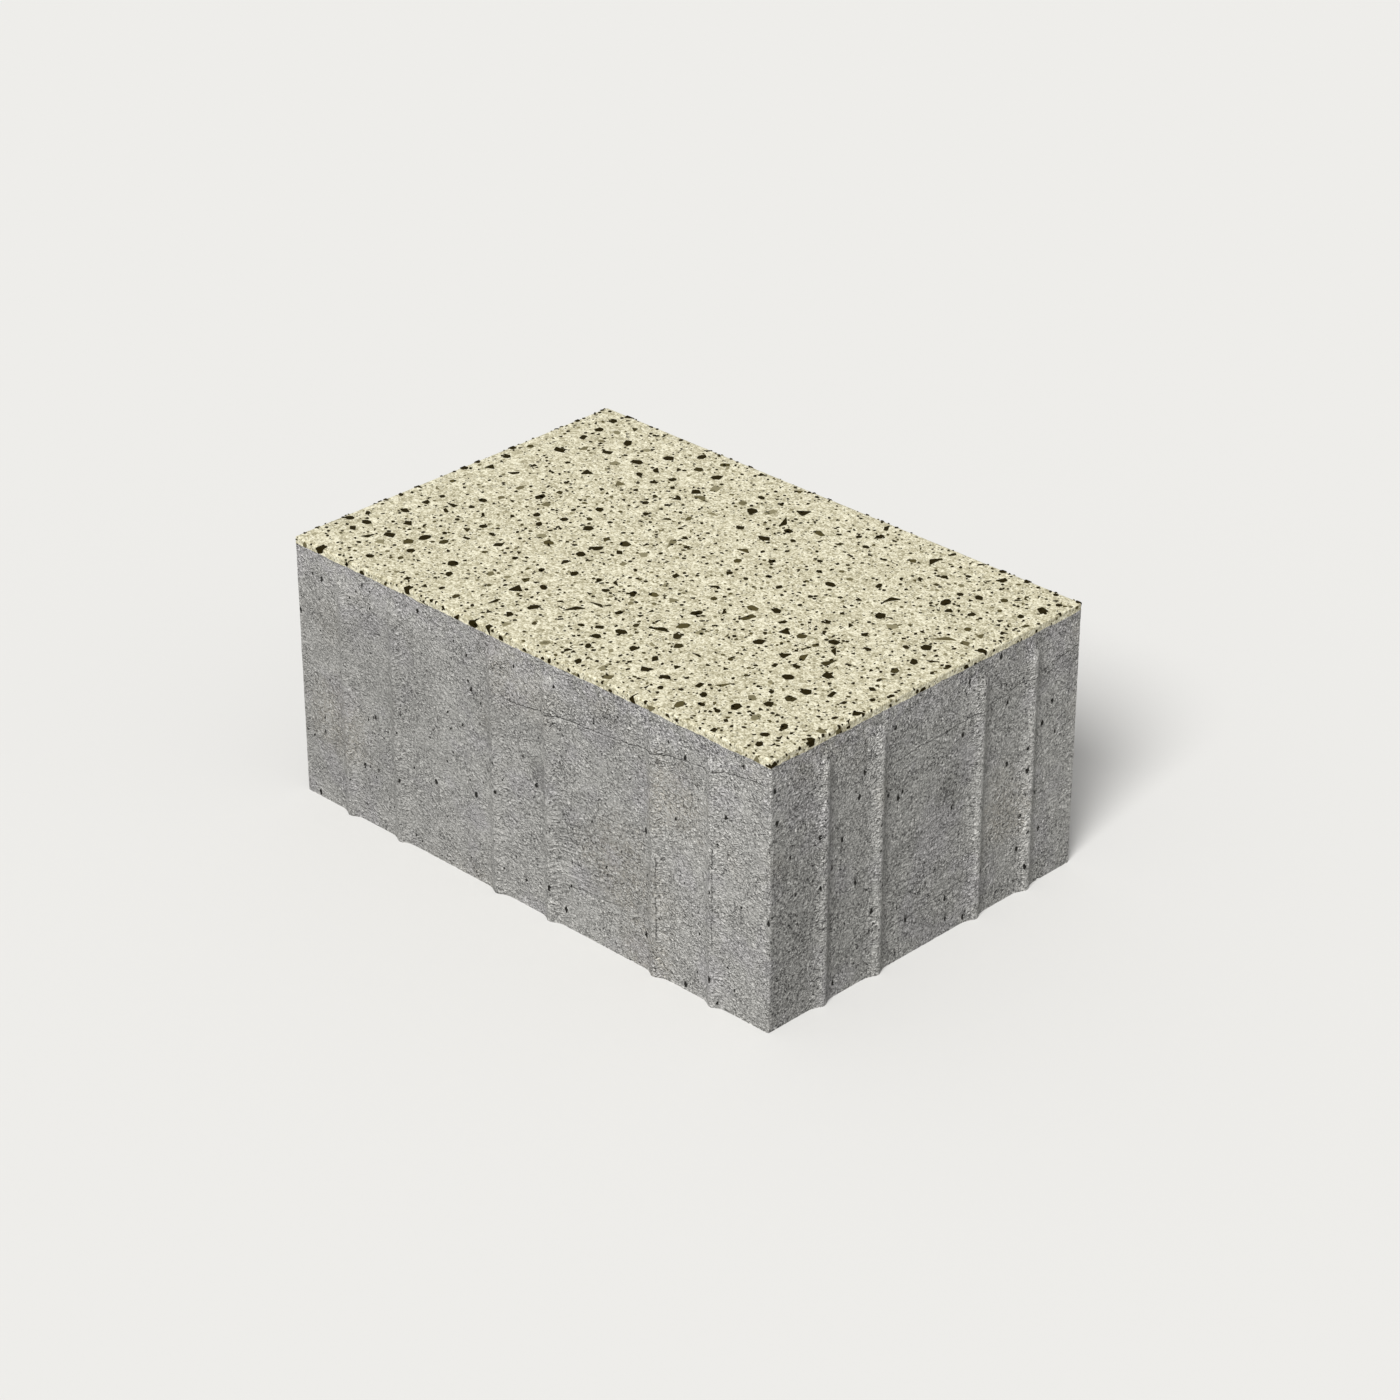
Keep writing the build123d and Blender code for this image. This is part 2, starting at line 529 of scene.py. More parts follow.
# Patterns in the grey
BLOTCH = (24.0, 3.0, 0.55)
MOTTLE = (4.5, 3.0, 0.6)
STREAKS = (5.0, 2.0, 0.6)
SAND = (1.15, 1.5, 0.6, 1.6)
FINE_SAND = (0.65, 1.0, 0.6, 1.0)
COARSENESS = (6.5, 2.0, 0.6)
RAGGED = (6.0, 4.0, 0.65)
DRAGS = (1.1, 1.0, 0.5, 0.3)
STRAY_STAINS = (26.0, 2.0)
COOL_PATCHES = (14.0, 3.0)
# Shifts that keep two patterns of like size from matching, stretches that draw a pattern out level,
# and pushes, which are a size and a reach in millimetres, that make a pattern swirl
STRAY_SHIFT = (310.0, 0.0, 0.0)
COOL_SHIFT = (0.0, 170.0, 0.0)
STREAK_STRETCH = (0.3, 0.3, 1.0)
SAND_STRETCH = (0.9, 0.9, 1.1)
DRAG_STRETCH = (0.12, 0.12, 1.0)
DRAG_RISE = 12.0
SAND_SWIRL = (9.0, 3.0)
DRAG_SWIRL = (22.0, 12.0)
# Ramps over those patterns and up the sides
COARSE_PATCHES = (0.36, 0.64, 0.8, 1.25)
COARSE_HEIGHTS = (56.0, 72.0, 0.96, 1.18)
COARSE_LEFT, COARSE_RIGHT = 0.78, 1.2
FAINT_DRAGS = (0.52, 0.66, 0.0, 0.5)
STAIN_BREAKS = (0.62, 0.38, 0.1, 1.0)
STRAY_RANGE = (0.56, 0.72)
LILAC_RANGE = (0.42, 0.62)
LILAC_DEPTH, LILAC_GAP = 13.0, 1.0
COOL_RANGE = (0.5, 0.68)
# Painted shade in the pits: where the near black starts and where it is full
PIT_EDGE = (0.05, 0.4)
GREY_ROUGHNESS = (0.2, 0.8, 0.82, 0.97)
GREY_SHEEN = 0.25
RAGGED_AMOUNT, RAGGED_REACH = 0.5, 0.3
# How much each pattern and mark lightens the grey, and how far it stands out in the bump
BLOTCH_TONE, MOTTLE_TONE, STREAK_TONE = 0.11, 0.05, 0.08
GRAIN_TONE = 1.3
FINE_TONE, FINE_REACH, FINE_BUMP = 0.76, 0.3, 0.4
DRAG_TONE, DRAG_BUMP = 0.55, 0.85
# The lip under a crack is lightened as a painted highlight
LIP_HIGHLIGHT_TONE, LIP_BUMP = 0.24, 0.14
# Painted highlight along the upright corners
CORNER_HIGHLIGHT_TONE = 0.14
# Painted highlight along the rib crests on the short sides
CREST_HIGHLIGHT_TONE = 0.2
# How far the crack and mould lines are darkened towards the near black pit colour; in the cracks this is
# painted shade
LINE_DARKNESS, LINE_BUMP = 0.7, -0.2
PIT_BUMP = -0.3
GREY_BUMP = 1.5 * MM
# Share of their colour that the stains, smudges and tints reach
WARM_SHARE = 0.35
STRAY_SHARE = 0.25
SMUDGE_SHARE = 0.42
LILAC_SHARE = 0.3
COOL_SHARE = 0.25


def sand_coarseness(graph, place):
    """How strong the grain is: patchy, stronger towards the right end and along the top of the sides."""
    along, _, height_up = graph.axes(place)
    end = LENGTH * PER_MM / 2
    return graph.times(
        graph.ramp(graph.noise(place, *COARSENESS), *COARSE_PATCHES),
        graph.ramp(along, -end, end, COARSE_LEFT, COARSE_RIGHT, False),
        graph.ramp(height_up, *COARSE_HEIGHTS),
    )


def painted_light_and_shade(graph, place):
    """Painted light and shade: the lift along the top of the sides, and the broad darker and lighter
    areas.
    """
    tone = graph.ramp(graph.axes(place)[2], *PAINTED_TOP_LIGHT)
    for side, middle, radius, amount in PAINTED_LIGHT_AND_SHADE_PATCHES:
        shown, _ = on_side(graph, place, side)
        area = patch_field(graph, place, ((middle, radius),), 0.0)
        tone = graph.add(tone, graph.times(area, shown, amount))
    return tone


def drag_marks(graph, place, blotch, ragged):
    """Level marks, a little bowed, where the mould has dragged along the sides."""
    bowed = graph.warped(place, *DRAG_SWIRL)
    drawn_out = graph.vector("MULTIPLY", graph.tilted(bowed, DRAG_RISE), DRAG_STRETCH)
    drags = graph.noise(drawn_out, *DRAGS)
    faint = graph.ramp(blotch, *FAINT_DRAGS)
    shown = graph.larger(faint, patch_field(graph, place, DRAG_PATCHES, ragged))
    return graph.times(graph.minus(drags, 0.5), shown)


def grey_concrete(look):
    """Sandy grey concrete with pits, layer cracks, beige stains, damp smudges and drag marks."""
    material, graph, shader, place = new_material("grey_backing_concrete")
    blotch = graph.noise(place, *BLOTCH)
    mottle = graph.noise(place, *MOTTLE)
    streaks = graph.noise(graph.vector("MULTIPLY", place, STREAK_STRETCH), *STREAKS)
    swirled = graph.vector("MULTIPLY", graph.warped(place, *SAND_SWIRL), SAND_STRETCH)
    sand = graph.noise(swirled, *SAND)
    fine = graph.noise(place, *FINE_SAND)
    coarseness = sand_coarseness(graph, place)
    grains = graph.times(graph.minus(sand, 0.5), coarseness)

    ragged = graph.swing(graph.noise(place, *RAGGED), RAGGED_AMOUNT, RAGGED_REACH)
    patchy = graph.ramp(sand, *STAIN_BREAKS)
    stain = graph.times(patch_field(graph, place, WARM_PATCHES, ragged), WARM_SHARE)
    stray = graph.noise(graph.vector("ADD", place, STRAY_SHIFT), *STRAY_STAINS)
    stray = graph.ramp(stray, *STRAY_RANGE, 0.0, STRAY_SHARE)
    warm = graph.times(graph.larger(stain, stray), patchy)
    smudge = graph.times(patch_field(graph, place, SMUDGES, ragged), SMUDGE_SHARE)
    seam = SEAM * PER_MM
    under_facing = graph.ramp(graph.axes(place)[2], seam - LILAC_DEPTH, seam - LILAC_GAP)
    lilac = graph.times(under_facing, graph.ramp(mottle, *LILAC_RANGE, 0.0, LILAC_SHARE))
    cool = graph.noise(graph.vector("ADD", place, COOL_SHIFT), *COOL_PATCHES)
    lilac = graph.larger(lilac, graph.ramp(cool, *COOL_RANGE, 0.0, COOL_SHARE))

    jagged = graph.vector("ADD", place, graph.scaled(graph.spread(sand), PIT_JAG))
    large_pits, small_pits = (pit_field(graph, jagged, kind) for kind in (LARGE_PITS, SMALL_PITS))
    pits = graph.larger(large_pits, small_pits)
    lines, lips = crack_lines(graph, place)
    lines = graph.larger(lines, mould_lines(graph, place))
    drags = drag_marks(graph, place, blotch, ragged)

    level = graph.add(
        graph.swing(blotch, BLOTCH_TONE),
        graph.swing(mottle, MOTTLE_TONE),
        graph.swing(streaks, STREAK_TONE),
        graph.times(grains, GRAIN_TONE),
        graph.times(graph.swing(fine, FINE_TONE, FINE_REACH), coarseness),
        graph.times(drags, DRAG_TONE),
        # Painted highlight on the lips under the cracks
        graph.times(lips, LIP_HIGHLIGHT_TONE),
        # Painted highlight along the upright corners
        graph.times(painted_corner_highlight(graph, place), CORNER_HIGHLIGHT_TONE),
        # Painted highlight along the rib crests on the short sides
        graph.times(painted_crest_highlight(graph, place), CREST_HIGHLIGHT_TONE),
        # Painted light and shade over broad areas of the sides
        painted_light_and_shade(graph, place),
        1.0,
    )
    colour = graph.mix(warm, look.grey, look.warm)
    colour = graph.mix(lilac, colour, look.lilac)
    colour = graph.mix(smudge, colour, look.smudge)
    colour = graph.vector("MULTIPLY", colour, graph.spread(level))
    # Painted shade: the pits and cracks are mixed towards the near black pit colour, and the mould lines
    # with them
    dark = graph.larger(graph.ramp(pits, *PIT_EDGE), graph.times(lines, LINE_DARKNESS))
    colour = graph.mix(dark, colour, look.pit)

    relief = graph.add(
        grains,
        graph.times(fine, FINE_BUMP),
        graph.times(drags, DRAG_BUMP),
        graph.times(lips, LIP_BUMP),
        graph.times(lines, LINE_BUMP),
        graph.times(pits, PIT_BUMP),
    )
    roughness = graph.ramp(mottle, *GREY_ROUGHNESS, False)
    finish_surface(graph, shader, colour, roughness, relief, GREY_BUMP, GREY_SHEEN)
    return material


# Cells and patterns in the cream, by size in millimetres
GRAIN_CELL = 0.75
COARSE_CELL = 1.4
SPECK_CELL = 0.9
CLOUD = (2.8, 2.0, 0.6)
PATCH = (26.0, 2.0, 0.5)
DUST = (0.5, 1.0, 0.6)
# Tone of the ground, how far each pattern swings it, and where on it each colour stands
MEAN_TONE = 0.47
GRAIN_SWING, COARSE_SWING, CLOUD_SWING = 0.19, 0.05, 0.08
DUST_SWING, DUST_REACH = 0.30, 0.3
SHADE_AT, DULL_AT, CREAM_AT, PALE_AT = 0.18, 0.36, 0.50, 0.74
PATCH_DULLNESS = (0.55, 0.8, 0.0, 0.1)
# Share of the cells that hold a dark speck, and the edges and strengths of the speck and its pale rim
SPECK_CHANCE = 0.26
SPECK_EDGE = (0.42, 0.32)
SPECK_STRENGTH = (0.0, 1.0, 0.2, 1.0)
RIM_EDGE = (0.70, 0.48)
RIM_STRENGTH = 0.55
# Painted shade: depth below the top over which the band on the sides turns darker, and the share of its
# brightness that is left
PAINTED_BAND_SHADE = (0.4, 0.9, 1.0, 0.95)
# How far each pattern stands out in the bump
GRAIN_BUMP, DUST_BUMP, CLOUD_BUMP = -0.7, 0.6, 0.5
CREAM_BUMP = 0.18 * MM
CREAM_ROUGHNESS = (0.0, 1.0, 0.72, 0.92)
CREAM_SHEEN = 0.3
# Tones at which a chip is black, weathered or under cement, and the film and unevenness of the stone
BLACK_AT, BROWN_AT, GHOST_AT = 0.68, 0.86, 0.97
STONE_MOTTLE = (0.8, 3.0, 0.6)
STONE_GRAIN = (0.5, 2.0)
STONE_FILM = (0.5, 0.8, 0.0, 0.2)
CHIP_BUMP = 0.04 * MM
CHIP_ROUGHNESS = (0.2, 0.8, 0.6, 0.85)
CHIP_SHEEN = 0.03


def colour_stops(graph, value, stops):
    """The colour at a value among stops, each a place and a colour, in rising order."""
    made = graph.node("ShaderNodeValToRGB", {0: value})
    elements = made.color_ramp.elements
    for element, (place, colour) in zip(elements, (stops[0], stops[-1])):
        element.position, element.color = place, rgba(colour)
    for place, colour in stops[1:-1]:
        elements.new(place).color = rgba(colour)
    return made.outputs[0]


def cream_facing(look):
    """Washed cream mix: pale and dull grains of sand, finer dark specks and a faint patchiness."""
    material, graph, shader, place = new_material("cream_facing_concrete")
    grain = graph.cells(place, GRAIN_CELL)
    grain_tone = graph.axes(grain["Color"])[0]
    coarse_tone = graph.axes(graph.cells(place, COARSE_CELL)["Color"])[1]
    cloud = graph.noise(place, *CLOUD)
    patch = graph.noise(place, *PATCH)
    dust = graph.noise(place, *DUST)
    tone = graph.add(
        graph.swing(grain_tone, GRAIN_SWING, WHOLE_RANGE),
        graph.swing(coarse_tone, COARSE_SWING, WHOLE_RANGE),
        graph.swing(cloud, CLOUD_SWING),
        graph.swing(dust, DUST_SWING, DUST_REACH),
        MEAN_TONE,
    )
    colours = (look.shade, look.dull, look.cream, look.pale)
    ground = colour_stops(graph, tone, tuple(zip((SHADE_AT, DULL_AT, CREAM_AT, PALE_AT), colours)))
    specks = graph.cells(place, SPECK_CELL)
    luck, darkness, _ = graph.axes(specks["Color"])
    chosen = graph.math("LESS_THAN", luck, SPECK_CHANCE)
    strength = graph.times(chosen, graph.ramp(darkness, *SPECK_STRENGTH))
    speck = graph.times(graph.ramp(specks["Distance"], *SPECK_EDGE), strength)
    rim = graph.times(graph.ramp(specks["Distance"], *RIM_EDGE), chosen, RIM_STRENGTH)
    colour = graph.mix(rim, ground, look.pale)
    colour = graph.mix(speck, colour, look.speck)
    colour = graph.mix(graph.ramp(patch, *PATCH_DULLNESS), colour, look.dull)
    # Painted shade: the band on the sides is a little darker than the top
    below_top = graph.minus(HEIGHT * PER_MM, graph.axes(place)[2])
    band = graph.ramp(below_top, *PAINTED_BAND_SHADE)
    colour = graph.vector("MULTIPLY", colour, graph.spread(band))
    relief = graph.add(
        graph.times(grain["Distance"], GRAIN_BUMP),
        graph.times(dust, DUST_BUMP),
        graph.times(cloud, CLOUD_BUMP),
    )
    roughness = graph.ramp(grain_tone, *CREAM_ROUGHNESS, False)
    finish_surface(graph, shader, colour, roughness, relief, CREAM_BUMP, CREAM_SHEEN)
    return material


def dark_chip(look):
    """Crushed dark stone: olive black for the most part, some weathered, some under a film of cement."""
    material, graph, shader, place = new_material("dark_chip_stone")
    tone = graph.node("ShaderNodeAttribute", attribute_name="tone").outputs["Fac"]
    stops = ((BLACK_AT, look.black), (BROWN_AT, look.brown), (GHOST_AT, look.ghost))
    stone = colour_stops(graph, tone, stops)
    mottle = graph.noise(place, *STONE_MOTTLE)
    film = graph.ramp(mottle, *STONE_FILM)
    colour = graph.mix(film, stone, look.brown)
    roughness = graph.ramp(mottle, *CHIP_ROUGHNESS, False)
    relief = graph.noise(place, *STONE_GRAIN)
    finish_surface(graph, shader, colour, roughness, relief, CHIP_BUMP, CHIP_SHEEN)
    return material


# Meshes
def bell(distance, shape):
    """How far a rib stands out at a distance from its middle: a round crest with hollow roots."""
    span = shape.rib_crest + shape.rib_root
    rise = span - RIB_PROJECTION
    half = math.sqrt(span**2 - rise**2)
    meeting = half * shape.rib_crest / span
    crest = RIB_PROJECTION - shape.rib_crest + np.sqrt(np.maximum(shape.rib_crest**2 - distance**2, 0.0))
    root = shape.rib_root - np.sqrt(np.maximum(shape.rib_root**2 - (half - distance) ** 2, 0.0))
    return np.where(distance < meeting, crest, np.where(distance < half, root, 0.0))


def rib_relief(along, side_length, shape):
    """How far the ribs of a side stand out at each distance from its middle."""
    room = side_length - 2 * shape.rib_root - shape.rib_spacing
    pairs = 1 + math.floor(room / shape.rib_pitch)
    relief = np.zeros_like(along)
    for pair in range(pairs):
        middle = (pair - (pairs - 1) / 2) * shape.rib_pitch
        for half in (-shape.rib_spacing / 2, shape.rib_spacing / 2):
            relief = np.maximum(relief, bell(np.abs(along - middle - half), shape))
    return relief


ARC_STEPS = 3
SIDES = 4


class Ring:
    """Stations round the block's outline: places, outward directions, rib relief and seam heights."""

    def __init__(self, shape):
        self.counts = []
        places, outward, ribs = [], [], []
        for side in range(SIDES):
            length, depth = (LENGTH, WIDTH) if side % 2 == 0 else (WIDTH, LENGTH)
            straight = length - 2 * shape.arris
            steps = round(straight / shape.step_along)
            along = np.linspace(-straight / 2, straight / 2, steps + 1)
            self.counts.append(steps + 1)
            angles = np.radians(np.linspace(-90.0, 0.0, ARC_STEPS + 1)[1:-1])
            spots = np.column_stack([along, np.full_like(along, -depth / 2)])
            bend = np.column_stack([np.cos(angles), np.sin(angles)])
            centre = np.array([straight / 2, shape.arris - depth / 2])
            turn = math.radians(90.0 * side)
            spin = np.array([[math.cos(turn), math.sin(turn)], [-math.sin(turn), math.cos(turn)]])
            facing = np.tile([0.0, -1.0], (steps + 1, 1))
            places.append(np.vstack([spots, centre + shape.arris * bend]) @ spin)
            outward.append(np.vstack([facing, bend]) @ spin)
            ribs.append(np.concatenate([rib_relief(along, length, shape), np.zeros(ARC_STEPS - 1)]))
        self.places = np.vstack(places)
        self.outward = np.vstack(outward)
        self.ribs = np.concatenate(ribs)
        self.size = len(self.places)
        self.seam = np.array([SEAM + shape.seam_wave * seam_stray(x, y) for x, y in self.places])

    def level(self, height, inset=0.0, out=0.0):
        """The stations as points at a height, moved in or out."""
        flat = self.places + self.outward * (np.asarray(out) - inset).reshape(-1, 1)
        return np.column_stack([flat, np.broadcast_to(height, self.size)])

    def sideways(self, lift=0.0):
        """Directions that point out of the side, lifted by an angle."""
        flat = self.outward * math.cos(lift)
        return np.column_stack([flat, np.full(self.size, math.sin(lift))])


# Lengths of the long and the short waves in the seam, and the short ones' share and shift
SEAM_LONG_WAVE = 7.0
SEAM_SHORT_WAVE = 1.6
SEAM_SHORT_SHARE = 0.6
SEAM_SHORT_SHIFT = 5.0


def seam_stray(x, y):
    """From about -1 to 1: how far the lower edge of the facing strays at a place on the outline."""
    slow = noise.noise(Vector((x, y, 0.0)) * (PER_MM / SEAM_LONG_WAVE))
    quick = noise.noise(Vector((x, y, SEAM_SHORT_SHIFT)) * (PER_MM / SEAM_SHORT_WAVE))
    return slow + SEAM_SHORT_SHARE * quick


def ring_faces(lower, upper):
    """Faces between two closed rows of vertices, leaving out edges that have shrunk to a point."""
    faces = []
    for i, j in enumerate(np.roll(np.arange(len(lower)), -1)):
        corners = [lower[i], lower[j], upper[j], upper[i]]
        faces.append([int(c) for k, c in enumerate(corners) if c != corners[k - 1]])
    return faces


UP, DOWN = (0.0, 0.0, 1.0), (0.0, 0.0, -1.0)


class Skin:
    """Points and faces of a piece, with the direction and the share of its relief at every point."""

    def __init__(self):
        self.points, self.outward, self.give, self.faces = [], [], [], []
        self.count = 0

    def add(self, points, outward, give):
        """Adds points and gives back their numbers."""
        added = len(points)
        self.points.append(points)
        self.outward.append(np.broadcast_to(outward, (added, 3)))
        self.give.append(np.full(added, give))
        self.count += added
        return np.arange(self.count - added, self.count)

    def join(self, rows):
        """Faces between each closed row of points and the next."""
        for lower, upper in zip(rows, rows[1:]):
            self.faces += ring_faces(lower, upper)

    def close(self, row, outward):
        """A hidden fan at the seam, from a closed row of points to the middle of the block."""
        middle = int(self.add([[0.0, 0.0, SEAM]], outward, 0.0)[0])
        for pair in zip(row.tolist(), np.roll(row, -1).tolist()):
            self.faces.append([*(pair if outward == UP else reversed(pair)), middle])

    def piece(self, name):
        """The mesh object."""
        mesh = bpy.data.meshes.new(name)
        mesh.from_pydata(np.vstack(self.points).tolist(), [], self.faces)
        outward = mesh.attributes.new("outward", "FLOAT_VECTOR", "POINT")
        outward.data.foreach_set("vector", np.vstack(self.outward).ravel())
        give = mesh.attributes.new("give", "FLOAT", "POINT")
        give.data.foreach_set("value", np.concatenate(self.give))
        piece = bpy.data.objects.new(name, mesh)
        bpy.context.scene.collection.objects.link(piece)
        return piece


def body_mesh(shape):
    """The grey body: ribbed sides from the bed up to the seam, a flat bed and a hidden upper face."""
    ring, skin = Ring(shape), Skin()
    steps = round(SEAM / shape.step_up)
    rib_top = HEIGHT - shape.rib_gap
    rows = []
    for step in range(steps + 1):
        height = ring.seam * step / steps
        slope = np.clip((rib_top - height) / shape.rib_taper, 0.0, 1.0)
        growth = slope * slope * (3 - 2 * slope)
        points = ring.level(height, out=ring.ribs * growth)
        rows.append(skin.add(points, ring.sideways(), 0.0 if step == steps else 1.0))
    skin.join(rows)
    skin.close(rows[-1], UP)
    inner = bed_points(shape)
    numbers = skin.add(np.column_stack([inner, np.zeros(len(inner))]), DOWN, 1.0)
    skin.faces += bed_faces(skin.points[0][:, :2], inner, int(numbers[0]))
    return skin.piece("grey_body")


def bed_points(shape):
    """Points spread over the bed face, inside its outline."""
    margin = 2 * shape.arris + shape.step_bed / 2
    columns = np.arange(margin - LENGTH / 2, LENGTH / 2 - margin, shape.step_bed)
    lines = np.arange(margin - WIDTH / 2, WIDTH / 2 - margin, shape.step_bed)
    grid = np.stack(np.meshgrid(columns, lines), -1).reshape(-1, 2)
    return grid - grid.mean(0)


INSIDE_ONLY = 1
MERGE_DISTANCE = 1e-7


def bed_faces(outline, inner, first_inner):
    """Triangles that fill the bed, turned to face down."""
    count = len(outline)
    flat = [Vector(p) for p in np.vstack([outline, inner])]
    edges = [(i, (i + 1) % count) for i in range(count)]
    _, _, triangles, origins, *_ = geometry.delaunay_2d_cdt(flat, edges, [], INSIDE_ONLY, MERGE_DISTANCE)
    sources = [origin[0] for origin in origins]
    named = [i if i < count else first_inner + i - count for i in sources]
    return [[named[i] for i in reversed(face)] for face in triangles]


BAND_ROWS = 4


def facing_mesh(shape):
    """The cream facing: a band above the seam, a rounded arris, a flat top and a hidden underside."""
    ring, skin = Ring(shape), Skin()
    foot = HEIGHT - shape.arris
    rows = []
    for step in range(BAND_ROWS):
        points = ring.level(ring.seam + (foot - ring.seam) * step / BAND_ROWS)
        rows.append(skin.add(points, ring.sideways(), 0.0 if step == 0 else 1.0))
    for step in range(ARC_STEPS):
        lift = math.radians(90.0) * step / ARC_STEPS
        inset = shape.arris * (1 - math.cos(lift))
        points = ring.level(foot + shape.arris * math.sin(lift), inset)
        rows.append(skin.add(points, ring.sideways(lift), 1.0))
    skin.join(rows)

    across, deep = ring.counts[:2]
    start = across + ARC_STEPS - 1
    grid_x, grid_y = np.meshgrid(ring.places[:across, 0], ring.places[start:start + deep, 1])
    points = np.column_stack([grid_x.ravel(), grid_y.ravel(), np.full(grid_x.size, HEIGHT)])
    grid = skin.add(points, UP, 1.0).reshape(deep, across)
    corners = np.stack([grid[:-1, :-1], grid[:-1, 1:], grid[1:, 1:], grid[1:, :-1]], -1)
    skin.faces += corners.reshape(-1, 4).tolist()
    borders = (grid[0], grid[:, -1], grid[-1, ::-1], grid[::-1, 0])
    rim = np.concatenate([np.append(b, [b[-1]] * (ARC_STEPS - 1)) for b in borders])
    skin.join([rows[-1], rim])
    skin.close(rows[0], DOWN)
    return skin.piece("cream_facing")


# Geometry Nodes
def new_tree(name, inputs):
    """An empty geometry tree with named inputs, and each input's socket and identifier."""
    tree = bpy.data.node_groups.new(name, "GeometryNodeTree")
    identifiers = {}
    for label, kind in inputs.items():
        socket = tree.interface.new_socket(label, in_out="INPUT", socket_type=kind)
        identifiers[label] = socket.identifier
    tree.interface.new_socket("Geometry", in_out="OUTPUT", socket_type="NodeSocketGeometry")
    graph = Graph(tree)
    given = graph.node("NodeGroupInput").outputs
    return tree, graph, given, identifiers


def end_tree(graph, shape, material):
    """Closes a tree: real geometry with its material."""
    real = graph.node("GeometryNodeRealizeInstances", {"Geometry": shape}).outputs[0]
    painted = graph.node("GeometryNodeSetMaterial", {"Geometry": real, "Material": material}).outputs[0]
    graph.node("NodeGroupOutput", {0: painted})


def bake_tree(piece, tree, identifiers, values):
    """Runs a tree on a piece with the given inputs, and leaves the result as the piece's plain mesh."""
    modifier = piece.modifiers.new(tree.name, "NODES")
    modifier.node_group = tree
    for label, value in values.items():
        modifier[identifiers[label]] = value
    evaluated = piece.evaluated_get(bpy.context.evaluated_depsgraph_get())
    mesh = bpy.data.meshes.new_from_object(evaluated)
    piece.modifiers.remove(modifier)
    old = piece.data
    piece.data = mesh
    bpy.data.meshes.remove(old)
    mesh.name = piece.name
    if not mesh.polygons:
        raise RuntimeError(f"{piece.name} came out empty")


# Kinds of wave in the relief, with the detail of each
RELIEF_WAVES = {"Grain": 2.0, "Lump": 2.0, "Sway": 1.0}
WAVE_SIZES = tuple(f"{kind} {measure}" for kind in RELIEF_WAVES for measure in ("Size", "Depth"))
RELIEF_SIZES = ("Skin", *WAVE_SIZES, "Pit Depth")
WAVE_RANGE = (0.22, 0.78)
SEAM_INSET = 0.08 * MM


def relief_tree():
    """Presses a grained, lumpy and pitted relief into a surface, always inwards."""
    inputs = {"Geometry": "NodeSocketGeometry"}
    inputs |= {label: "NodeSocketFloat" for label in RELIEF_SIZES}
    inputs["Material"] = "NodeSocketMaterial"
    tree, graph, given, identifiers = new_tree("Concrete relief", inputs)
    place = graph.node("GeometryNodeInputPosition").outputs[0]
    outward = graph.stored("outward", "FLOAT_VECTOR")
    give = graph.stored("give", "FLOAT")
    depth = given["Skin"]
    for kind, detail in RELIEF_WAVES.items():
        wave = graph.ramp(graph.noise(place, given[f"{kind} Size"], detail), *WAVE_RANGE, smooth=False)
        depth = graph.add(depth, graph.times(wave, given[f"{kind} Depth"]))
    pits = pit_field(graph, graph.scaled(place, PER_MM), LARGE_PITS)
    depth = graph.add(depth, graph.times(pits, given["Pit Depth"]))
    held = graph.minus(1.0, give)
    depth = graph.add(graph.times(depth, give), graph.times(held, SEAM_INSET))
    offset = graph.scaled(outward, graph.times(depth, -1.0))
    moved = graph.node("GeometryNodeSetPosition", {"Geometry": given["Geometry"], "Offset": offset})
    end_tree(graph, moved.outputs[0], given["Material"])
    return tree, identifiers


SHARP_ANGLE = math.radians(55.0)


def press_relief(piece, look, material):
    """Runs the relief over a piece and keeps its true edges crisp."""
    tree, identifiers = relief_tree()
    values = {label: getattr(look, label.lower().replace(" ", "_")) for label in RELIEF_SIZES}
    bake_tree(piece, tree, identifiers, values | {"Material": material})
    mesh = piece.data
    mesh.shade_smooth()
    mesh.set_sharp_from_angle(angle=SHARP_ANGLE)
    for name in ("outward", "give"):
        mesh.attributes.remove(mesh.attributes[name])


CHIP_SHAPES = 24
CHIP_SEED = 7
# Numbers of corners to draw from, least angle from one to the next, and how evenly the rest is shared out
CHIP_CORNERS = (3, 4, 4, 4, 5, 5, 5, 6)
CHIP_LEAST_ARC = 0.75
CHIP_EVENNESS = 2.0
# Share of each edge that is cut off at a corner, depth, and least width of the foot as a share of the top
CHIP_BLUNTING = 0.1
CHIP_DEPTH = 0.75
CHIP_FOOT = 0.7


